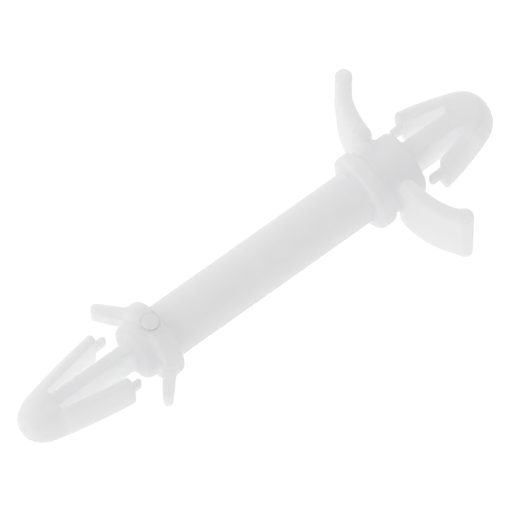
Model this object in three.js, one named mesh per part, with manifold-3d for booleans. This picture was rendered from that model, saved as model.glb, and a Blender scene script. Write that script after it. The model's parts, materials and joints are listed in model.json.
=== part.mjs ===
// Snap-in spacer post, one moulding in natural nylon. It holds a circuit board a fixed height above a
// chassis: an arrowhead at each end snaps through a hole, and a pair of wings beside each seat
// presses on the panel. The regions of the moulding are separate bodies, split where it bends.
//
// Millimetres. X runs along the post from the board end to the chassis end, Y across the wings, and
// Z is the direction in which the mould opens. The origin is the middle of the whole part. "left" is
// the +Y side and "right" the -Y side.

import * as THREE from 'three';
import { mergeVertices } from 'three/addons/utils/BufferGeometryUtils.js';
import Module from 'manifold-3d';

const wasm = await Module();
wasm.setup();

const SPACING = 25.4; // from the board's seat to the chassis's seat
const POST_RADIUS = 2.12;
const REST_HALF_HEIGHT = 2.95; // to the flats that the part lies on
const ARROW_HALF_HEIGHT = 1.8; // to the flat sides of stems, noses and barbs
const STEM_FOOT = 0.1; // how deep the foot of a stem stands in its seat
const SEAM = 0.02; // split between two regions of the moulding
const PLAY = 0.05; // room round a root that bends

// Each end is described in its own frame: x is the distance in front of its seat, so the arrowhead
// is at positive x, and the hub, the collar and the post are behind, at negative x.
const BOARD_END = {
  name: 'board',
  hub: { radius: 2.17, length: 1.18, edge: 0.62 },
  collar: { radius: 3.05, length: 1.67, edge: 0.2 },
  stem: { halfThickness: 0.52 },
  arrow: {
    tip: 9.85, // front of the nose
    root: 6.93, // where the barbs leave the nose
    shoulder: 1.65, // back of the barbs
    noseLength: 2.05,
    noseRadius: 1.95,
    noseFullness: 1.5, // how blunt the nose is
    shoulderRadius: 2.98,
    bulge: 0.08, // how far the sides stand out from a straight cone
  },
  barb: { rootInside: 0.9, mouthInside: 1.85 },
  nib: { length: 1.0, thickness: 0.52, halfHeight: 0.47 },
  wing: {
    route: [[-1.51, 2.72], [-1.06, 3.24], [-0.61, 3.76], [-0.16, 4.28]],
    rootRadius: 0.5,
    tipRadius: 0.4,
    halfHeight: 0.82,
    swing: 15, // degrees
  },
};

const CHASSIS_END = {
  name: 'chassis',
  hub: { radius: 2.57, length: 2.97, edge: 0.2 },
  collar: { radius: 3.05, length: 1.5, edge: 0.2 },
  stem: { halfThickness: 0.75 },
  arrow: {
    tip: 7.42,
    root: 4.44,
    shoulder: 1.5,
    noseLength: 1.85,
    noseRadius: 2.28,
    noseFullness: 1.75,
    shoulderRadius: 3.33,
    bulge: 0.1,
  },
  barb: { rootInside: 1.2, mouthInside: 2.04 },
  nib: { length: 1.1, thickness: 0.55, halfHeight: 0.47 },
  wing: {
    route: [[-1.85, 2.61], [-1.85, 4.35], [-1.3, 5.95], [-0.18, 7.15]],
    rootRadius: 0.56,
    tipRadius: 0.48,
    halfHeight: 2.9,
    swing: 8,
  },
  bead: { radius: 0.64 },
};

const PIN_MARK = { radius: 0.64, height: 0.13, moat: 0.09, recess: 0.16, aside: 0.19 };

const SIDES = 48; // facets round a turned shape
const ROD_SIDES = 32;
const ROUTE_STEPS = 10; // along a wing
const CAP_STEPS = 8; // in the half turn at the end of a bar
const RIM_STEPS = 4; // in the quarter turn of a rim
const NOSE_STEPS = 7;
const SIDE_STEPS = 3;
const FAR = 20; // beyond every surface of the part

const NYLON = { color: 0xdddde0, roughness: 0.45, metalness: 0 };

// A closed three.js geometry as a solid for joining and cutting.
function solid(geometry) {
  geometry.deleteAttribute('normal');
  geometry.deleteAttribute('uv');
  const welded = mergeVertices(geometry, 1e-5);
  const corners = welded.index.array;
  const triangles = [];
  for (let i = 0; i < corners.length; i += 3) {
    const [a, b, c] = [corners[i], corners[i + 1], corners[i + 2]];
    if (a !== b && b !== c && c !== a) {
      triangles.push(a, b, c);
    }
  }
  return new wasm.Manifold(new wasm.Mesh({
    numProp: 3,
    vertProperties: Float32Array.from(welded.attributes.position.array),
    triVerts: Uint32Array.from(triangles),
  }));
}

// A solid as a named mesh with a nylon material of its own.
function region(name, body) {
  const { vertProperties, triVerts } = body.getMesh();
  const geometry = new THREE.BufferGeometry();
  geometry.setAttribute('position', new THREE.BufferAttribute(vertProperties, 3));
  geometry.setIndex(new THREE.BufferAttribute(triVerts, 1));
  geometry.computeVertexNormals();
  const mesh = new THREE.Mesh(geometry, new THREE.MeshStandardMaterial(NYLON));
  mesh.name = name;
  return mesh;
}

// The same solid on both sides of the axis: as it is on the left, half a turn round X on the right.
function pair(name, body) {
  const left = region(`${name}_left`, body);
  const right = region(`${name}_right`, body);
  right.rotation.x = Math.PI;
  return [left, right];
}

// A solid of revolution about X from [x, radius] points that start and end on the axis.
function turned(outline) {
  const points = outline.map(([x, radius]) => new THREE.Vector2(radius, x));
  return solid(new THREE.LatheGeometry(points, SIDES).rotateZ(-Math.PI / 2));
}

// A disc about X from x0 to x1, with each rim eased by its own edge radius.
function disc(radius, x0, x1, edge0, edge1) {
  const first = quarter(x0, radius, edge0, 1);
  const last = quarter(x1, radius, edge1, -1).reverse();
  return turned([[x0, 0], ...first, ...last, [x1, 0]]);
}

// The points of a rounded rim, from the face at x outwards. inward is the sign of the way from the
// face into the disc.
function quarter(x, radius, edge, inward) {
  if (edge === 0) {
    return [[x, radius]];
  }
  const points = [];
  for (let i = 0; i <= RIM_STEPS; i += 1) {
    const turn = (i / RIM_STEPS) * (Math.PI / 2);
    points.push([x + inward * edge * (1 - Math.cos(turn)), radius - edge * (1 - Math.sin(turn))]);
  }
  return points;
}

function box(x0, x1, y0, y1, halfHeight) {
  const geometry = new THREE.BoxGeometry(x1 - x0, y1 - y0, 2 * halfHeight);
  return solid(geometry.translate((x0 + x1) / 2, (y0 + y1) / 2, 0));
}

// A cylinder that stands along Z.
function rod([x, y], radius, z0, z1) {
  const geometry = new THREE.CylinderGeometry(radius, radius, z1 - z0, ROD_SIDES);
  return solid(geometry.rotateX(Math.PI / 2).translate(x, y, (z0 + z1) / 2));
}

function prism(shape, halfHeight) {
  const settings = { depth: 2 * halfHeight, bevelEnabled: false, curveSegments: CAP_STEPS };
  return solid(new THREE.ExtrudeGeometry(shape, settings).translate(0, 0, -halfHeight));
}

// The outline of a bar with round ends that follows a route, tapering from root to tip.
function barOutline(route, rootRadius, tipRadius) {
  const curve = new THREE.CubicBezierCurve(...route.map(([x, y]) => new THREE.Vector2(x, y)));
  const near = [];
  const far = [];
  for (let i = 0; i <= ROUTE_STEPS; i += 1) {
    const t = i / ROUTE_STEPS;
    const middle = curve.getPoint(t);
    const along = curve.getTangent(t);
    const out = new THREE.Vector2(along.y, -along.x);
    out.multiplyScalar(rootRadius + (tipRadius - rootRadius) * t);
    near.push(middle.clone().add(out));
    far.unshift(middle.clone().sub(out));
  }
  const cap = (t, radius, first) => {
    const centre = curve.getPoint(t);
    const start = curve.getTangent(t).angle() + first;
    const points = [];
    for (let i = 1; i < CAP_STEPS; i += 1) {
      const angle = start + (i / CAP_STEPS) * Math.PI;
      const arm = new THREE.Vector2(Math.cos(angle), Math.sin(angle)).multiplyScalar(radius);
      points.push(arm.add(centre));
    }
    return points;
  };
  const tipCap = cap(1, tipRadius, -Math.PI / 2);
  const rootCap = cap(0, rootRadius, Math.PI / 2);
  return new THREE.Shape([...near, ...tipCap, ...far, ...rootCap]);
}

// The arrowhead's outer radius at x, between the shoulder and the nose.
function sideRadius({ tip, shoulder, noseLength, noseRadius, shoulderRadius, bulge }, x) {
  const share = (x - shoulder) / (tip - noseLength - shoulder);
  return shoulderRadius + (noseRadius - shoulderRadius) * share + 4 * bulge * share * (1 - share);
}

// The whole arrowhead as one pointed solid with flat sides, before its slots are cut.
function arrowBody(arrow) {
  const { tip, shoulder, noseLength, noseRadius, noseFullness } = arrow;
  const noseBack = tip - noseLength;
  const sides = [];
  for (let i = 0; i < SIDE_STEPS; i += 1) {
    const x = shoulder + (i / SIDE_STEPS) * (noseBack - shoulder);
    sides.push([x, sideRadius(arrow, x)]);
  }
  const nose = new THREE.QuadraticBezierCurve(
    new THREE.Vector2(noseBack, noseRadius),
    new THREE.Vector2(tip, noseFullness),
    new THREE.Vector2(tip, 0),
  );
  const front = nose.getPoints(NOSE_STEPS).map(({ x, y }) => [x, y]);
  const round = turned([[shoulder, 0], ...sides, ...front]);
  return round.intersect(box(-FAR, FAR, -FAR, FAR, ARROW_HALF_HEIGHT));
}

// Nose, stem, barbs and nibs. Each barb turns about the middle of its root.
function arrowhead({ name, arrow, stem, barb, nib }) {
  const body = arrowBody(arrow);
  const { root, shoulder } = arrow;
  const rootOutside = sideRadius(arrow, root);
  const pivotY = (barb.rootInside + rootOutside) / 2;
  const rootRadius = (rootOutside - barb.rootInside) / 2;

  const knuckleRoom = [pivotY, -pivotY]
    .map((y) => rod([root, y], rootRadius + PLAY, -FAR, FAR))
    .reduce((all, one) => all.add(one));
  const nose = body.intersect(box(root, FAR, -FAR, FAR, FAR)).subtract(knuckleRoom);

  const half = stem.halfThickness;
  const shaft = box(SEAM - STEM_FOOT, root - SEAM, -half, half, ARROW_HALF_HEIGHT);

  const leaf = new THREE.Shape();
  leaf.moveTo(shoulder, barb.mouthInside);
  leaf.lineTo(root, barb.rootInside);
  leaf.absarc(root, pivotY, rootRadius, -Math.PI / 2, Math.PI / 2, false);
  leaf.lineTo(root, FAR);
  leaf.lineTo(shoulder, FAR);

  const nibRadius = nib.thickness / 2;
  const nibEnd = shoulder - nib.length + nibRadius;
  const inside = barb.mouthInside;
  const tab = new THREE.Shape();
  tab.moveTo(shoulder - SEAM, inside);
  tab.lineTo(shoulder - SEAM, inside + nib.thickness);
  tab.lineTo(nibEnd, inside + nib.thickness);
  tab.absarc(nibEnd, inside + nibRadius, nibRadius, Math.PI / 2, 1.5 * Math.PI, false);

  return [
    region(`${name}_nose`, nose),
    region(`${name}_stem`, shaft),
    ...pair(`${name}_barb`, body.intersect(prism(leaf, FAR))),
    ...pair(`${name}_nib`, prism(tab, nib.halfHeight)),
  ];
}

// The hub, whose front face is the seat, with a slot for the foot of the stem.
function hubBody({ hub, stem }) {
  const slotY = stem.halfThickness + SEAM;
  const slot = box(-STEM_FOOT, FAR, -slotY, slotY, ARROW_HALF_HEIGHT + SEAM);
  return disc(hub.radius, -hub.length, 0, 0, hub.edge).subtract(slot);
}

// The collar, with flats above and below.
function collarBody({ hub, collar }) {
  const front = -hub.length - SEAM;
  const round = disc(collar.radius, -hub.length - collar.length, front, collar.edge, collar.edge);
  return round.intersect(box(-FAR, FAR, -FAR, FAR, REST_HALF_HEIGHT));
}

// The room that a wing needs as it swings back towards the post, on both sides.
function wingRoom({ route, rootRadius, tipRadius, halfHeight, swing }) {
  const [x, y] = route[0];
  const outline = barOutline(route, rootRadius + PLAY, tipRadius + PLAY);
  const rooms = [];
  for (const degrees of [0, swing / 2, swing]) {
    const geometry = new THREE.ExtrudeGeometry(outline, {
      depth: 2 * (halfHeight + PLAY),
      bevelEnabled: false,
    });
    geometry.translate(-x, -y, -halfHeight - PLAY);
    geometry.rotateZ(THREE.MathUtils.degToRad(degrees)).translate(x, y, 0);
    rooms.push(solid(geometry.clone()), solid(geometry.rotateX(Math.PI)));
  }
  return rooms.reduce((all, one) => all.add(one));
}

function boardEnd(end) {
  const { name, hub, collar, wing } = end;
  const markPlace = [-hub.length - collar.length / 2, PIN_MARK.aside];
  // This end is turned over when it is placed, so its upper side is at negative z here.
  const floor = PIN_MARK.recess - REST_HALF_HEIGHT;
  const recess = rod(markPlace, PIN_MARK.radius + PIN_MARK.moat, -FAR, floor);
  const mark = rod(markPlace, PIN_MARK.radius, floor - PIN_MARK.height, floor - SEAM);
  const room = wingRoom(wing);
  const bar = prism(barOutline(wing.route, wing.rootRadius, wing.tipRadius), wing.halfHeight);
  return [
    region(`${name}_hub`, hubBody(end).subtract(room)),
    region(`${name}_collar`, collarBody(end).subtract(room).subtract(recess)),
    region(`${name}_pin_mark`, mark),
    ...arrowhead(end),
    ...pair(`${name}_wing`, bar),
  ];
}

function chassisEnd(end) {
  const { name, wing, bead } = end;
  const [pivotX, pivotY] = wing.route[0];
  const bar = box(pivotX - wing.rootRadius, pivotX + wing.rootRadius, -pivotY, pivotY, wing.halfHeight);
  const rootRoom = [pivotY, -pivotY]
    .map((y) => rod([pivotX, y], wing.rootRadius + PLAY, -FAR, FAR))
    .reduce((all, one) => all.add(one));
  const tip = wing.route[3];
  const strap = prism(barOutline(wing.route, wing.rootRadius, wing.tipRadius), wing.halfHeight)
    .subtract(rod(tip, bead.radius + SEAM, -FAR, FAR));
  return [
    region(`${name}_hub`, hubBody(end).add(bar).subtract(rootRoom)),
    region(`${name}_collar`, collarBody(end)),
    ...arrowhead(end),
    ...pair(`${name}_wing`, strap),
    ...pair(`${name}_bead`, rod(tip, bead.radius, -REST_HALF_HEIGHT, REST_HALF_HEIGHT)),
  ];
}

// The middle of the whole part, measured from the point halfway between the seats.
const middle = (CHASSIS_END.arrow.tip - BOARD_END.arrow.tip) / 2;
const boardSeat = -SPACING / 2 - middle;
const chassisSeat = SPACING / 2 - middle;
const collarBack = ({ hub, collar }) => hub.length + collar.length + SEAM;

const group = new THREE.Group();
group.name = 'snap_in_spacer_post';
const postStart = boardSeat + collarBack(BOARD_END);
const postEnd = chassisSeat - collarBack(CHASSIS_END);
group.add(region('post_shaft', disc(POST_RADIUS, postStart, postEnd, 0, 0)));

const board = new THREE.Group();
board.add(...boardEnd(BOARD_END));
board.position.x = boardSeat;
board.rotation.y = Math.PI;
group.add(board);

const chassis = new THREE.Group();
chassis.add(...chassisEnd(CHASSIS_END));
chassis.position.x = chassisSeat;
group.add(chassis);

export default group;
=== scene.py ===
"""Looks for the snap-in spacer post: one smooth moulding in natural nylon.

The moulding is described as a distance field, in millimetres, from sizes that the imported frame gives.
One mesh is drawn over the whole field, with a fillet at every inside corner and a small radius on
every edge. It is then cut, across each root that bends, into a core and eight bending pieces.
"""

import json
import math

import bmesh
import bpy
import numpy as np
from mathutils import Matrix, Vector


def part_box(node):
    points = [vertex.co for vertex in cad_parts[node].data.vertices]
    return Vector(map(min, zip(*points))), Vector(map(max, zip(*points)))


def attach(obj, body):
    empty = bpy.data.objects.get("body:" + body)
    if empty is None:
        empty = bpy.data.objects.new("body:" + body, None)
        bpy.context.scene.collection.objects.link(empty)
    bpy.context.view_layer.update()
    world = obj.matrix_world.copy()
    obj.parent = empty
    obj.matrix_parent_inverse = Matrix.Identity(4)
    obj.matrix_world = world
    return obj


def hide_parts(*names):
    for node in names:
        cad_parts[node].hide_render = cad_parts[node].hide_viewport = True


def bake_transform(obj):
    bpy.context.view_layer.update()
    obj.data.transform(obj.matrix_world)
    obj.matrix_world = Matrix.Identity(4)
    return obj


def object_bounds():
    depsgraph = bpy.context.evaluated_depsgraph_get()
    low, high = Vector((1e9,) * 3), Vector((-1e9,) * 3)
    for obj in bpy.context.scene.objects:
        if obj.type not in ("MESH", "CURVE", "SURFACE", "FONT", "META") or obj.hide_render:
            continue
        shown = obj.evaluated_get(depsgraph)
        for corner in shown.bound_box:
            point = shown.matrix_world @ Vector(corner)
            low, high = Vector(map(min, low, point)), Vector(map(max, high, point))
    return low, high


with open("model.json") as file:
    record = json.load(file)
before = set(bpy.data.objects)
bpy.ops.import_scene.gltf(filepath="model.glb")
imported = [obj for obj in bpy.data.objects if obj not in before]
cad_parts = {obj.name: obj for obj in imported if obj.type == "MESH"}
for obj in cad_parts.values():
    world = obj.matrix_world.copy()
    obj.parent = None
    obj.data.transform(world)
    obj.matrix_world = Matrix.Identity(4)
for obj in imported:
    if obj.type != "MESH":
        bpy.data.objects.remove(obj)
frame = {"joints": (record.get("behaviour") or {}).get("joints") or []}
cad_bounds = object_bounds()

MM = 0.001
CELL = 0.1  # millimetres between the points at which the field is sampled
DEPTH_NAME = "depth"
DEEPEST = 4.0  # millimetres of nylon that count as thick, and get the full painted shade
SLOT_NAME = "slot"
WIDEST = 2.4  # millimetres of air that count as open
BLURS = 10  # rounds of smoothing that those two get
SIDES = {"left": 1, "right": -1}

# Where a bending piece is cut off, and how far past the cut the end of its bending stretch is put.
BARB_CUT = 0.16  # millimetres behind the root
BARB_BEND = 1.3  # millimetres, along the barb
WING_BEND = 0.5  # as a share of the wing's whole route

# Light and material.
# Painted light and shade: thin nylon is painted lighter and thick nylon darker, for the light that shines
# through thin nylon.
THIN_PAINTED_LIGHT_COLOUR = (0.98, 0.98, 0.985)
THICK_PAINTED_SHADE_COLOUR = (0.86, 0.86, 0.87)
SLOT_GLOW = 0.065  # light that thin nylon passes on into a narrow slot
SCATTER = 3.5  # how far light travels in nylon between scatterings, in millimetres
PAD_SCATTER = 0.1  # in the thin pad of the pin mark, which can't share its light with the collar
PAD_GLOW = 0.25  # the same pad's share of the slots' glow
SKY = 0.745
SKY_TILT = 0.17  # how much brighter the sky is on its brighter side
TABLE = 0.8  # light from the table on the part
TABLE_SEEN = 0.94  # and in the picture, where it is overexposed
BOUNCES = 16  # enough for light to find its way out of the slots
SEAM_GLOW = 0.78  # the light inside the moulding, where two pieces of it meet
SEAM_GAP = 0.003  # between those two pieces, in millimetres

# Roundings, in millimetres.
EDGE = 0.13  # outside edges of stems, barbs and wings
RIM_EDGE = 0.45  # rims of collars and hubs
FOOT_FILLET = 0.28  # where a stem leaves its seat
SLOT_FILLET = 0.17  # inner ends of the slots in an arrowhead
PIN_MOAT = 0.13  # groove round the ejector pin's mark
PIN_EDGE = 0.03  # rims of that mark and of its recess
POST_FILLET = 0.2  # between the post and a collar
HUB_FILLET = 0.12  # between a collar and its hub
STEM_EDGE = 0.1
NIB_FILLET = 0.08
BEAD_ROUNDING = 0.2  # ends of a bead, and its corner with the wing

# The chassis wings grow from the hub's height to their own, between these distances from the axis.
FLARE_START = 1.4
FLARE_LENGTH = 1.9
FLARE_INSET = 0.12  # how far the wings' roots stay inside the hub's outline

# What the frame's boxes don't tell, in millimetres. x is the distance in front of the seat.
STYLES = {
    "board": {
        "forward": -1,
        "hub_radius": 2.17,
        "seat_edge": 0.62,
        "nose_length": 2.05,
        "nose_radius": 1.95,
        "nose_fullness": 1.5,
        "bulge": 0.08,
        "route": ((-1.51, 2.72), (-1.06, 3.24), (-0.61, 3.76), (-0.16, 4.28)),
        "wing_root": 0.5,
        "wing_tip": 0.4,
        "wing_fillet": 0.35,
        "wing_cut": 0.42,
    },
    "chassis": {
        "forward": 1,
        "hub_radius": 2.57,
        "seat_edge": 0.24,
        "nose_length": 1.85,
        "nose_radius": 2.28,
        "nose_fullness": 1.75,
        "bulge": 0.1,
        "route": ((-1.85, 2.61), (-1.85, 4.35), (-1.3, 5.95), (-0.18, 7.15)),
        "wing_root": 0.56,
        "wing_tip": 0.48,
        "wing_fillet": 0.5,
        "wing_cut": 0.12,
    },
}


# ---------------------------------------------------------------------------------------- sizes


def box_mm(node):
    """Lowest and highest corner of a CAD node, in millimetres."""
    low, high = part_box(node)
    return np.array(low) / MM, np.array(high) / MM


def joint_mm(name):
    """A joint's place, in millimetres."""
    found = next(j for j in frame["joints"] if j["name"] == name)
    return np.array(found["pos_m"]) / MM


def read_end(name):
    """One end's sizes, with every x measured forward from its seat."""
    end = dict(STYLES[name], name=name)
    forward = end["forward"]

    def span(node):
        """The node's nearest and furthest x in front of the seat."""
        low, high = box_mm(node)
        near, far = sorted(((low[0] - end["seat"]) * forward, (high[0] - end["seat"]) * forward))
        return near, far

    hub = box_mm(f"{name}_hub")
    end["seat"] = hub[1][0] if forward > 0 else hub[0][0]
    end["hub_back"] = span(f"{name}_hub")[0]
    end["collar_back"], end["collar_front"] = span(f"{name}_collar")
    end["collar_radius"] = box_mm(f"{name}_collar")[1][1]
    end["rest_height"] = box_mm(f"{name}_collar")[1][2]
    end["stem_half"] = box_mm(f"{name}_stem")[1][1]
    end["flat_height"] = box_mm(f"{name}_stem")[1][2]
    end["root"], end["tip"] = span(f"{name}_nose")
    end["shoulder"] = span(f"{name}_barb_left")[0]
    end["shoulder_radius"] = box_mm(f"{name}_barb_left")[1][1]
    root_radius = span(f"{name}_barb_left")[1] - end["root"]
    end["root_inside"] = joint_mm(f"{name}_barb_left_flex")[1] - root_radius
    end["nib_end"] = span(f"{name}_nib_left")[0]
    end["nib_low"] = box_mm(f"{name}_nib_left")[0][1]
    end["nib_high"] = box_mm(f"{name}_nib_left")[1][1]
    end["nib_height"] = box_mm(f"{name}_nib_left")[1][2]
    end["wing_height"] = box_mm(f"{name}_wing_left")[1][2]
    return end


POST_RADIUS = box_mm("post_shaft")[1][1]
ENDS = [read_end("board"), read_end("chassis")]
BEAD_LOW, BEAD_HIGH = box_mm("chassis_bead_left")
PIN_LOW, PIN_HIGH = box_mm("board_pin_mark")
PIN_RADIUS = (PIN_HIGH[1] - PIN_LOW[1]) / 2
PIN_X = ENDS[0]["seat"] - (PIN_LOW[0] + PIN_HIGH[0]) / 2
PIN_Y = (PIN_LOW[1] + PIN_HIGH[1]) / 2
PIN_FLOOR = PIN_LOW[2] - 0.02


# ------------------------------------------------------------------------------- distance field


def join(a, b, radius):
    """Union of two fields, with a fillet in the corner between them."""
    corner = np.hypot(np.maximum(radius - a, 0), np.maximum(radius - b, 0))
    return np.maximum(radius, np.minimum(a, b)) - corner


def cut(a, b, radius):
    """What two fields share, with their common edge rounded."""
    return -join(-a, -b, radius)


def between(x, low, high):
    """A slab."""
    return np.abs(x - (low + high) / 2) - (high - low) / 2


def disc(x, radial, back, front, radius, back_edge, front_edge):
    """A disc about the post's axis with a rounded rim at each face."""
    behind = cut(back - x, radial - radius, back_edge)
    ahead = cut(x - front, radial - radius, front_edge)
    return np.maximum(behind, ahead)


def arrow_outside(x, radial, end):
    """The arrowhead's turned outside: bulging cone and blunt nose."""
    nose_back = end["tip"] - end["nose_length"]
    length = nose_back - end["shoulder"]
    slope = (end["nose_radius"] - end["shoulder_radius"]) / length
    share = (x - end["shoulder"]) / length
    cone = end["shoulder_radius"] + slope * (x - end["shoulder"]) + 4 * end["bulge"] * share * (1 - share)
    cone_slope = slope + 4 * end["bulge"] * (1 - 2 * share) / length
    side = (radial - cone) / np.sqrt(1 + cone_slope**2)

    # The nose is an arc of a parabola that leaves the cone smoothly and meets the axis squarely.
    full = end["nose_fullness"]
    bend = end["nose_radius"] - 2 * full
    inner = np.minimum(radial, 0.98 * full**2 / -bend)
    root = np.sqrt(full**2 + bend * inner)
    along = (root - full) / bend
    front = nose_back + end["nose_length"] * (1 - along**2)
    front_slope = end["nose_length"] * along / root
    tip = (x - front) / np.sqrt(1 + front_slope**2)
    return np.where(x < nose_back, side, tip)


def bar(x, y, end, steps=40):
    """Distance in the XY plane to a wing's tapering bar."""
    points = [np.array(p) for p in end["route"]]
    best = None
    for i in range(steps):
        low, high = i / steps, (i + 1) / steps
        start, stop = bezier(points, low), bezier(points, high)
        dx, dy = stop - start
        share = np.clip(((x - start[0]) * dx + (y - start[1]) * dy) / (dx * dx + dy * dy), 0, 1)
        thick = end["wing_root"] + (end["wing_tip"] - end["wing_root"]) * (low + (high - low) * share)
        away = np.hypot(x - start[0] - share * dx, y - start[1] - share * dy) - thick
        best = away if best is None else np.minimum(best, away)
    return best


def bezier(points, t):
    """A point of a cubic curve."""
    weights = ((1 - t) ** 3, 3 * t * (1 - t) ** 2, 3 * t * t * (1 - t), t**3)
    return sum(w * p for w, p in zip(weights, points, strict=True))


def head(x, y, z, radial, end):
    """Nose, barbs and nibs."""
    outside = cut(arrow_outside(x, radial, end), np.abs(z) - end["flat_height"], EDGE)
    slope = (end["nib_low"] - end["root_inside"]) / (end["root"] - end["shoulder"])
    inside = end["root_inside"] + slope * (end["root"] - x)
    leaf = (inside - y) / math.hypot(1, slope)
    solid = join(leaf, end["root"] - x, SLOT_FILLET)
    barbs = cut(cut(outside, solid, EDGE), end["shoulder"] - x, EDGE)
    middle = (end["nib_low"] + end["nib_high"]) / 2
    half = (end["nib_high"] - end["nib_low"]) / 2
    reach = np.maximum(end["nib_end"] + half - x, 0)
    tab = np.maximum(np.hypot(reach, y - middle) - half, x - end["shoulder"] - half)
    nib = cut(tab, np.abs(z) - end["nib_height"], EDGE)
    return join(barbs, nib, NIB_FILLET)


def wing(x, y, z, end):
    """A wing, with its bead if it has one."""
    height = end["wing_height"]
    if end["name"] == "chassis":
        low_height = end["hub_radius"] - FLARE_INSET
        share = np.clip((y - FLARE_START) / FLARE_LENGTH, 0, 1)
        height = low_height + (height - low_height) * share * share * (3 - 2 * share)
    strap = cut(bar(x, y, end), np.abs(z) - height, EDGE)
    if end["name"] != "chassis":
        return strap
    radius = (BEAD_HIGH[0] - BEAD_LOW[0]) / 2
    bead_x = (BEAD_HIGH[0] + BEAD_LOW[0]) / 2 - end["seat"]
    bead_y = (BEAD_HIGH[1] + BEAD_LOW[1]) / 2
    across = np.hypot(x - bead_x, y - bead_y)
    bead = cut(across - radius, np.abs(z) - BEAD_HIGH[2], BEAD_ROUNDING)
    return join(strap, bead, BEAD_ROUNDING)


def end_field(x, y, z, end):
    """The whole field of one end and the post behind it."""
    aside = y - PIN_Y
    y = np.abs(y)
    radial = np.hypot(y, z)
    hub = disc(x, radial, end["hub_back"] - 0.5, 0, end["hub_radius"], RIM_EDGE, end["seat_edge"])
    hub = join(hub, wing(x, y, z, end), end["wing_fillet"])
    collar = disc(
        x, radial, end["collar_back"], end["collar_front"], end["collar_radius"], RIM_EDGE, RIM_EDGE
    )
    collar = cut(collar, np.abs(z) - end["rest_height"], EDGE)
    post = np.maximum(radial - POST_RADIUS, x - end["collar_front"])
    body = join(hub, join(collar, post, POST_FILLET), HUB_FILLET)
    stem = cut(y - end["stem_half"], np.abs(z) - end["flat_height"], STEM_EDGE)
    stem = np.maximum(stem, between(x, -0.5, end["root"] + 0.4))
    body = join(body, stem, FOOT_FILLET)
    body = join(body, head(x, y, z, radial, end), SLOT_FILLET)
    body = np.maximum(body, np.abs(z) - end["rest_height"])
    if end["name"] == "board":
        across = np.hypot(x - PIN_X, aside)
        recess = np.maximum(across - PIN_RADIUS - PIN_MOAT, PIN_FLOOR - z)
        body = cut(body, -recess, PIN_EDGE)
    return body


def field(points):
    """The field at a list of points in the frame, in millimetres."""
    value = np.empty(len(points))
    on_board = points[:, 0] < 0
    for end, mine in zip(ENDS, (on_board, ~on_board), strict=True):
        x, y, z = points[mine].T
        value[mine] = end_field((x - end["seat"]) * end["forward"], y, z, end)
    return value


def gradient(points, reach=0.01):
    """The field's slope at each point, which points outwards."""
    slopes = [
        field(points + reach * axis) - field(points - reach * axis) for axis in np.eye(3)
    ]
    return np.stack(slopes, axis=1) / (2 * reach)


# ----------------------------------------------------------------------------------------- mesh


def sample_grid():
    """The field on a regular grid round the whole part: its values and its lines in each axis."""
    low = np.array(cad_bounds[0]) / MM - 3 * CELL
    high = np.array(cad_bounds[1]) / MM + 3 * CELL
    lines = [np.arange(a, b + CELL, CELL) for a, b in zip(low, high, strict=True)]
    y = lines[1][None, :, None]
    z = lines[2][None, None, :]
    halves = []
    for end, mine in zip(ENDS, (lines[0] < 0, lines[0] >= 0), strict=True):
        x = (lines[0][mine][:, None, None] - end["seat"]) * end["forward"]
        halves.append(end_field(x, y, z, end))
    return np.concatenate(halves), lines


def surface_net(inside, values, lines):
    """Corners and four-sided faces of the surface where the field is zero."""
    corners = [(i, j, k) for i in (0, 1) for j in (0, 1) for k in (0, 1)]
    nx, ny, nz = (n - 1 for n in values.shape)
    filled = sum(inside[i : i + nx, j : j + ny, k : k + nz].astype(np.int8) for i, j, k in corners)
    cells = np.argwhere((filled > 0) & (filled < 8))
    number = np.full((nx, ny, nz), -1)
    number[tuple(cells.T)] = np.arange(len(cells))

    # Each cell's corner is the middle of the points where its edges cross the surface.
    total = np.zeros((len(cells), 3))
    count = np.zeros(len(cells))
    for first in corners:
        for axis in range(3):
            if first[axis]:
                continue
            second = tuple(1 if n == axis else first[n] for n in range(3))
            a = values[tuple((cells + first).T)]
            b = values[tuple((cells + second).T)]
            crossed = (a < 0) != (b < 0)
            share = np.where(crossed, a / np.where(crossed, a - b, 1), 0)
            place = cells + np.array(first, float)
            place[:, axis] += share
            total += place * crossed[:, None]
            count += crossed
    points = total / count[:, None] * CELL + np.array([line[0] for line in lines])

    # One face for each grid edge that crosses the surface, between the four cells round it.
    faces = []
    for axis in range(3):
        one, two = (axis + 1) % 3, (axis + 2) % 3
        step = np.eye(3, dtype=int)
        count_here = values.shape[axis] - 1
        near = np.take(inside, range(count_here), axis)
        far = np.take(inside, range(1, count_here + 1), axis)
        edges = np.argwhere(near != far)
        outward = near[tuple(edges.T)]
        ring = [edges - step[one] - step[two], edges - step[two], edges, edges - step[one]]
        face = np.stack([number[tuple(r.T)] for r in ring], axis=1)
        face[~outward] = face[~outward][:, ::-1]
        faces.append(face)
    return settle(points), np.concatenate(faces)


def settle(points):
    """Moves points along the field's slope onto the surface."""
    for _ in range(4):
        slope = gradient(points)
        size = np.maximum((slope**2).sum(axis=1), 0.2)
        shift = slope * (field(points) / size)[:, None]
        longest = np.maximum(np.linalg.norm(shift, axis=1) / (0.6 * CELL), 1)
        points = points - shift / longest[:, None]
    return points


def reach_of(points, ways, is_free, lines, furthest):
    """How far each point can go along its way through free cells, as a share of the furthest."""
    origin = np.array([line[0] for line in lines])
    reached = np.zeros(len(points))
    free = np.ones(len(points), bool)
    for step in np.arange(CELL, furthest, CELL):
        cell = np.rint((points + ways * (step + CELL / 2) - origin) / CELL).astype(int)
        cell = np.clip(cell, 0, np.array(is_free.shape) - 1)
        free &= is_free[tuple(cell.T)]
        reached[free] = step / furthest
    return reached


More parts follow.
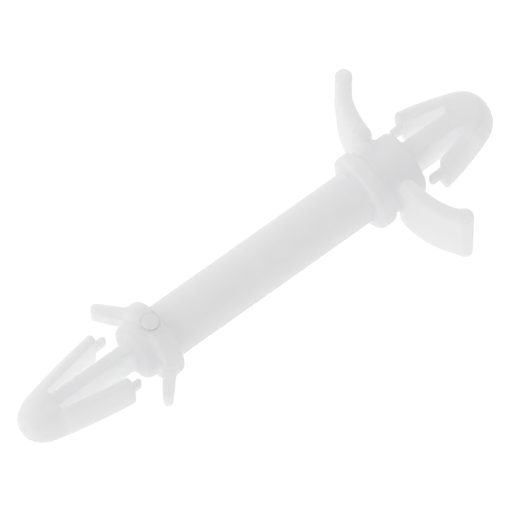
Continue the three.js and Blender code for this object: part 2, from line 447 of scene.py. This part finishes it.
def blurred(values, faces):
    """Values at the corners of a mesh, each made like its neighbours."""
    edges = np.concatenate([faces[:, [n, (n + 1) % 4]] for n in range(4)])
    count = np.bincount(edges.ravel(), minlength=len(values))
    for _ in range(BLURS):
        total = np.bincount(edges[:, 0], values[edges[:, 1]], len(values))
        total += np.bincount(edges[:, 1], values[edges[:, 0]], len(values))
        values = total / count
    return values


def whole_part():
    """The whole moulding as one bmesh, in millimetres, with the nylon's depth, which paints light and
    shade into its colour, and its nearness to more.
    """
    values, lines = sample_grid()
    inside = values < 0
    points, faces = surface_net(inside, values, lines)
    mesh = bpy.data.meshes.new("whole_part")
    mesh.from_pydata(points.tolist(), [], faces.tolist())
    slope = gradient(points)
    outward = slope / np.linalg.norm(slope, axis=1)[:, None]
    depth = reach_of(points, -outward, inside, lines, DEEPEST)
    slot = 1 - reach_of(points, outward, ~inside, lines, WIDEST)
    for name, values in ((DEPTH_NAME, depth), (SLOT_NAME, slot)):
        attribute = mesh.attributes.new(name, "FLOAT", "POINT")
        attribute.data.foreach_set("value", blurred(values, faces).astype(np.float32))
    whole = bmesh.new()
    whole.from_mesh(mesh)
    bpy.data.meshes.remove(mesh)
    return whole


def cut_loose(whole, place, direction, reach, seed):
    """Cuts across the moulding near a place and takes off what is on the far side, as a new bmesh."""
    place, direction = Vector(place), Vector(direction).normalized()
    near = [f for f in whole.faces if (f.calc_center_median() - place).length < reach]
    parts = set(near)
    parts.update(e for f in near for e in f.edges)
    parts.update(v for f in near for v in f.verts)
    made = bmesh.ops.bisect_plane(whole, geom=list(parts), dist=1e-5, plane_co=place, plane_no=direction)
    seam = [e for e in made["geom_cut"] if isinstance(e, bmesh.types.BMEdge)]
    bmesh.ops.split_edges(whole, edges=seam)
    whole.verts.index_update()
    start = min(whole.verts, key=lambda v: (v.co - Vector(seed)).length)
    found = {start}
    edge_of_search = [start]
    while edge_of_search:
        reached = {e.other_vert(v) for v in edge_of_search for e in v.link_edges} - found
        found |= reached
        edge_of_search = list(reached)
    piece = whole.copy()
    here = {v.index for v in found}
    bmesh.ops.delete(piece, geom=[v for v in piece.verts if v.index not in here], context="VERTS")
    bmesh.ops.delete(whole, geom=list(found), context="VERTS")
    return piece


def close_up(part):
    """Closes the holes that the cuts left, with a sharp edge round each."""
    rims = [e for e in part.edges if e.is_boundary]
    caps = bmesh.ops.holes_fill(part, edges=rims, sides=0)["faces"]
    for edge in rims:
        edge.smooth = False
    for face in caps:
        face.material_index = 1
        for v in face.verts:
            v.co -= face.normal * SEAM_GAP
    bmesh.ops.triangulate(part, faces=caps)


def to_object(part, name):
    """A bmesh in millimetres as an object in metres."""
    for face in part.faces:
        face.smooth = True
    bmesh.ops.recalc_face_normals(part, faces=list(part.faces))
    bmesh.ops.scale(part, vec=(MM, MM, MM), verts=list(part.verts))
    mesh = bpy.data.meshes.new(name)
    part.to_mesh(mesh)
    part.free()
    obj = bpy.data.objects.new(name, mesh)
    bpy.context.scene.collection.objects.link(obj)
    return obj


# --------------------------------------------------------------------------------------- pieces


def to_frame(end, x, y, z=0.0):
    """A point given in front of an end's seat, in the frame."""
    return np.array([end["seat"] + end["forward"] * x, y, z])


def bending_pieces(whole):
    """Cuts off every barb and wing, and returns each with its name, the CAD nodes it stands for, and the
    two ends of the stretch that bends.
    """
    made = []
    for end in ENDS:
        name = end["name"]
        cut_x = end["root"] - BARB_CUT
        for side, sign in SIDES.items():
            inside = (end["root_inside"] + end["shoulder_radius"]) / 2
            place = to_frame(end, cut_x, sign * inside)
            seed = to_frame(end, end["shoulder"], sign * end["shoulder_radius"])
            direction = (-end["forward"], 0, 0)
            piece = cut_loose(whole, place, direction, inside + 0.2, seed)
            stop = to_frame(end, cut_x - BARB_BEND, sign * inside)
            made.append((f"{name}_barb_{side}", piece, place, stop, (f"{name}_nib_{side}",)))

            points = [np.array(p) for p in end["route"]]
            here = bezier(points, end["wing_cut"])
            ahead = bezier(points, end["wing_cut"] + 0.01)
            tip = bezier(points, 1)
            place = to_frame(end, here[0], sign * here[1])
            way = to_frame(end, ahead[0], sign * ahead[1]) - place
            seed = to_frame(end, tip[0], sign * (tip[1] + 0.3))
            piece = cut_loose(whole, place, way, end["wing_height"] + 1.2, seed)
            bend = bezier(points, min(1, end["wing_cut"] + WING_BEND))
            stop = to_frame(end, bend[0], sign * bend[1])
            extra = (f"{name}_bead_{side}",) if name == "chassis" else ()
            made.append((f"{name}_wing_{side}", piece, place, stop, extra))
    return made


CORE_NODES = [
    "post_shaft", "board_collar", "board_hub", "board_stem", "board_nose",
    "chassis_collar", "chassis_hub", "chassis_stem", "chassis_nose",
]


def build_moulding(material, inner):
    """The core and the eight bending pieces."""
    whole = whole_part()
    for name, part, start, stop, extra in bending_pieces(whole):
        close_up(part)
        piece = to_object(part, f"{name}_skin")
        piece.data.materials.append(material)
        piece.data.materials.append(inner)
        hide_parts(name, *extra)
        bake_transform(piece)
    close_up(whole)
    core = to_object(whole, "moulded_core")
    core.data.materials.append(material)
    core.data.materials.append(inner)
    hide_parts(*CORE_NODES)
    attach(core, "body")
    return core


def build_pin_mark(material):
    """The round pad that the ejector pin left in its recess on the board collar."""
    top = PIN_HIGH[2]
    bevel = 0.3 * PIN_EDGE
    outline = [(0, top), (PIN_RADIUS - PIN_EDGE, top), (PIN_RADIUS - bevel, top - bevel)]
    outline += [(PIN_RADIUS, top - PIN_EDGE), (PIN_RADIUS, PIN_FLOOR), (0, PIN_FLOOR)]
    part = bmesh.new()
    middle = Vector(to_frame(ENDS[0], PIN_X, PIN_Y))
    corners = [part.verts.new(middle + Vector((radius, 0, z))) for radius, z in outline]
    for a, b in zip(corners, corners[1:], strict=False):
        part.edges.new((a, b))
    bmesh.ops.spin(
        part, geom=[*part.verts, *part.edges], cent=middle, axis=(0, 0, 1), angle=math.tau,
        steps=64, use_merge=True, use_duplicate=False,
    )
    bmesh.ops.remove_doubles(part, verts=list(part.verts), dist=1e-4)
    pad = to_object(part, "pin_mark_pad")
    # The pad is painted as thin nylon, with its painted light, and gets a share of the slots' glow.
    for name, value in ((DEPTH_NAME, 0.0), (SLOT_NAME, PAD_GLOW)):
        attribute = pad.data.attributes.new(name, "FLOAT", "POINT")
        attribute.data.foreach_set("value", [value] * len(pad.data.vertices))
    pad.data.materials.append(material)
    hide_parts("board_pin_mark")
    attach(pad, "body")
    return pad


# ------------------------------------------------------------------------------------ materials


def nylon(name, scatter):
    """Natural nylon: milky and translucent, a little uneven, with a satin skin and a parting line. Its
    colour has painted light where it is thin and painted shade where it is thick.
    """
    material = bpy.data.materials.new(name)
    material.use_nodes = True
    material.cycles.emission_sampling = "NONE"
    nodes, links = material.node_tree.nodes, material.node_tree.links
    shader = nodes["Principled BSDF"]
    place = nodes.new("ShaderNodeTexCoord").outputs["Object"]

    def noise(size_mm, detail, low, high):
        """Cloudy noise with patches of about this size, between two values."""
        cloud = nodes.new("ShaderNodeTexNoise")
        cloud.inputs["Scale"].default_value = 1 / (size_mm * MM)
        cloud.inputs["Detail"].default_value = detail
        level = nodes.new("ShaderNodeMapRange")
        level.inputs["From Min"].default_value = 0.25
        level.inputs["From Max"].default_value = 0.75
        level.inputs["To Min"].default_value = low
        level.inputs["To Max"].default_value = high
        links.new(place, cloud.inputs["Vector"])
        links.new(cloud.outputs["Fac"], level.inputs["Value"])
        return level.outputs["Result"]

    def sum_of(first, second, operation="ADD"):
        """Two values added, or combined in another way."""
        node = nodes.new("ShaderNodeMath")
        node.operation = operation
        for socket, value in zip(node.inputs, (first, second), strict=False):
            if isinstance(value, float):
                socket.default_value = value
            else:
                links.new(value, socket)
        return node.outputs["Value"]

    # Painted light and shade: thin nylon is painted lighter and thick nylon darker, for the light that
    # passes through it. The noise on top is the nylon's own uneven tone.
    depth = nodes.new("ShaderNodeAttribute")
    depth.attribute_name = DEPTH_NAME
    colour = nodes.new("ShaderNodeMix")
    colour.data_type = "RGBA"
    colour.inputs["A"].default_value = (*THIN_PAINTED_LIGHT_COLOUR, 1)
    colour.inputs["B"].default_value = (*THICK_PAINTED_SHADE_COLOUR, 1)
    links.new(sum_of(depth.outputs["Fac"], noise(1.6, 3, -0.08, 0.08)), colour.inputs["Factor"])
    links.new(colour.outputs["Result"], shader.inputs["Base Color"])
    links.new(noise(0.5, 2, 0.37, 0.48), shader.inputs["Roughness"])

    slot = nodes.new("ShaderNodeAttribute")
    slot.attribute_name = SLOT_NAME
    glow = sum_of(slot.outputs["Fac"], SLOT_GLOW, "MULTIPLY")
    shader.inputs["Emission Color"].default_value = (1, 1, 1, 1)
    links.new(glow, shader.inputs["Emission Strength"])

    # The skin's fine grain, and the low ridge halfway up where the halves of the mould met.
    height = nodes.new("ShaderNodeSeparateXYZ")
    links.new(place, height.inputs["Vector"])
    ridge = nodes.new("ShaderNodeMapRange")
    ridge.interpolation_type = "SMOOTHSTEP"
    ridge.inputs["From Max"].default_value = 0.05 * MM
    ridge.inputs["To Min"].default_value = 1
    ridge.inputs["To Max"].default_value = 0
    links.new(sum_of(height.outputs["Z"], 0.0, "ABSOLUTE"), ridge.inputs["Value"])
    bump = nodes.new("ShaderNodeBump")
    bump.inputs["Strength"].default_value = 0.6
    bump.inputs["Distance"].default_value = 0.02 * MM
    links.new(sum_of(ridge.outputs["Result"], noise(0.12, 2, 0, 0.25)), bump.inputs["Height"])
    links.new(bump.outputs["Normal"], shader.inputs["Normal"])

    shader.inputs["IOR"].default_value = 1.53
    shader.subsurface_method = "RANDOM_WALK"
    shader.inputs["Subsurface Weight"].default_value = 1.0
    shader.inputs["Subsurface Radius"].default_value = (1.0, 1.0, 1.0)
    shader.inputs["Subsurface Scale"].default_value = scatter * MM
    return material


def seam_material():
    """The hidden faces where two pieces of the one moulding meet.

    Each gives the light that would reach it through the other, so that no line shows between them.
    """
    material = bpy.data.materials.new("nylon_seam")
    material.use_nodes = True
    material.cycles.emission_sampling = "NONE"
    shader = material.node_tree.nodes["Principled BSDF"]
    shader.inputs["Base Color"].default_value = (0, 0, 0, 1)
    shader.inputs["Roughness"].default_value = 1
    shader.inputs["Specular IOR Level"].default_value = 0
    shader.inputs["Emission Color"].default_value = (1, 1, 1, 1)
    shader.inputs["Emission Strength"].default_value = SEAM_GLOW
    return material


def floor_material():
    """A pale, evenly lit tabletop."""
    material = bpy.data.materials.new("floor")
    material.use_nodes = True
    shader = material.node_tree.nodes["Principled BSDF"]
    shader.inputs["Base Color"].default_value = (0.12, 0.12, 0.12, 1)
    shader.inputs["Roughness"].default_value = 0.8
    shader.inputs["Emission Color"].default_value = (1, 1, 1, 1)
    seen = material.node_tree.nodes.new("ShaderNodeLightPath")
    level = material.node_tree.nodes.new("ShaderNodeMapRange")
    level.inputs["To Min"].default_value = TABLE
    level.inputs["To Max"].default_value = TABLE_SEEN
    material.node_tree.links.new(seen.outputs["Is Camera Ray"], level.inputs["Value"])
    material.node_tree.links.new(level.outputs["Result"], shader.inputs["Emission Strength"])
    return material


# ------------------------------------------------------------------------------ camera and room


def make_camera():
    """A long lens, so that the view is nearly free of perspective."""
    azimuth, elevation = math.radians(-37.95), math.radians(64.7)
    away, width = 1.0, 0.03703
    back = Vector((
        math.sin(azimuth) * math.cos(elevation),
        -math.cos(azimuth) * math.cos(elevation),
        math.sin(elevation),
    ))
    right = Vector((math.cos(azimuth), math.sin(azimuth), 0))
    up = back.cross(right)
    data = bpy.data.cameras.new("camera")
    data.sensor_width = 36
    data.lens = data.sensor_width * away / width
    data.clip_start, data.clip_end = 0.1, 10
    camera = bpy.data.objects.new("camera", data)
    camera.rotation_mode = "QUATERNION"
    camera.rotation_quaternion = (-back).to_track_quat("-Z", "Y")
    camera.location = back * away + right * -0.022 * MM + up * 0.933 * MM
    bpy.context.scene.collection.objects.link(camera)
    bpy.context.scene.camera = camera


def make_floor():
    """A square tabletop under the part."""
    half, z = 0.4, cad_bounds[0].z
    mesh = bpy.data.meshes.new("floor")
    corners = [(-half, -half, z), (half, -half, z), (half, half, z), (-half, half, z)]
    mesh.from_pydata(corners, [], [(0, 1, 2, 3)])
    floor = bpy.data.objects.new("floor", mesh)
    floor.data.materials.append(floor_material())
    bpy.context.scene.collection.objects.link(floor)


def make_lights():
    """Even white light from all round, a little stronger from behind and to the left."""
    world = bpy.data.worlds.new("studio")
    world.use_nodes = True
    nodes, links = world.node_tree.nodes, world.node_tree.links
    place = nodes.new("ShaderNodeTexCoord")
    tilt = nodes.new("ShaderNodeVectorMath")
    tilt.operation = "DOT_PRODUCT"
    tilt.inputs[1].default_value = Vector((-0.6, 0.8, 0.0)) * SKY_TILT
    level = nodes.new("ShaderNodeMath")
    level.inputs[1].default_value = SKY
    links.new(place.outputs["Generated"], tilt.inputs[0])
    links.new(tilt.outputs["Value"], level.inputs[0])
    links.new(level.outputs["Value"], nodes["Background"].inputs["Strength"])
    nodes["Background"].inputs["Color"].default_value = (1, 1, 1, 1)
    bpy.context.scene.world = world


bpy.context.scene.view_settings.view_transform = "Standard"
bpy.context.scene.cycles.diffuse_bounces = BOUNCES
bpy.context.scene.cycles.max_bounces = BOUNCES + 8
make_camera()
make_floor()
make_lights()
build_moulding(nylon("nylon", SCATTER), seam_material())
build_pin_mark(nylon("nylon_pad", PAD_SCATTER))
